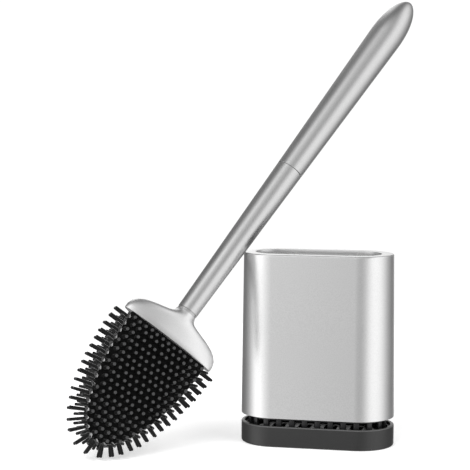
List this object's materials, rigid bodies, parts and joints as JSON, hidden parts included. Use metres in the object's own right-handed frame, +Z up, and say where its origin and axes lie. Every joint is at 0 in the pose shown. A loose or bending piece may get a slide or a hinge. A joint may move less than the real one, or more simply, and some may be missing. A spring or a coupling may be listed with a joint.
{
  "type": "toilet brush and holder",
  "caption": "Flat silicone toilet brush leaning on the rim of its tall oval holder, with a satin sleeve, a vented foot and a dark drip tray.",
  "frame": {"origin": "on the floor, at the centre of the holder's footprint", "axes": "+X along the holder's long side, towards the side away from the brush head; +Y to the back; +Z up"},
  "size_m": [0.2063, 0.1959, 0.3068],
  "materials": {
    "satin_steel": "satin silver, very fine grain",
    "bright_liner": "bright silver, smooth",
    "silver_plastic": "satin silver lacquer on plastic",
    "charcoal_plastic": "matte charcoal moulding",
    "black_plastic": "plain black moulding",
    "white_plastic": "plain white moulding, hidden",
    "plain_steel": "zinc-plated threads",
    "anti_slip_rubber": "matte black rubber",
    "black_silicone": "soft semi-gloss black silicone"
  },
  "bodies": {
    "tray": {"drip_tray": "charcoal_plastic", "non_slip_pad": "anti_slip_rubber", "drip_cup": "black_plastic", "cage_base_ring": "black_plastic", "vent_posts": "black_plastic", "cage_top_ring": "black_plastic"},
    "drain_grid": {"drain_grid": "black_plastic"},
    "sleeve": {"sleeve": "satin_steel", "rim_collar": "satin_steel", "inner_liner": "bright_liner", "sleeve_foot_ring": "black_plastic"},
    "handle": {"handle_tube": "satin_steel", "upper_plug": "black_plastic", "seam_stud": "plain_steel", "lower_plug": "black_plastic"},
    "seam_washer": {"seam_washer": "anti_slip_rubber"},
    "grip": {"grip": "satin_steel", "grip_insert": "black_plastic"},
    "neck_seal": {"neck_seal": "silver_plastic"},
    "head": {"yoke": "silver_plastic", "neck_stud": "plain_steel", "pad_core": "white_plastic", "core_screws": "plain_steel", "bristle_pad": "black_silicone"}
  },
  "joints": [
    {"name": "sleeve_lift", "type": "slide", "parent": "tray", "child": "sleeve", "axis": [0, 0, 1], "range_m": [0, 0.08]},
    {"name": "grid_lift", "type": "slide", "parent": "tray", "child": "drain_grid", "axis": [0, 0, 1], "range_m": [0, 0.1]},
    {"name": "brush_lift", "type": "slide", "parent": "sleeve", "child": "handle", "axis": [0, 0, 1], "range_m": [0, 0.25]},
    {"name": "grip_travel", "type": "slide", "parent": "handle", "child": "seam_washer", "axis": [0.4765, 0.4586, 0.7501], "range_m": [0, 0.02205]},
    {"name": "grip_turn", "type": "hinge", "parent": "seam_washer", "child": "grip", "pos_m": [-0.02405, 0.018, 0.18694], "axis": [0.4765, 0.4586, 0.7501], "range_deg": [0, 1980]},
    {"name": "head_travel", "type": "slide", "parent": "handle", "child": "neck_seal", "axis": [-0.4765, -0.4586, -0.7501], "range_m": [0, 0.02205]},
    {"name": "head_turn", "type": "hinge", "parent": "neck_seal", "child": "head", "pos_m": [-0.08409, -0.03978, 0.09243], "axis": [-0.4765, -0.4586, -0.7501], "range_deg": [0, 1980]}
  ],
  "couplings": [
    {"joint": "grip_travel", "follows": "grip_turn", "m_per_rad": 0.00063662},
    {"joint": "head_travel", "follows": "head_turn", "m_per_rad": 0.00063662}
  ]
}
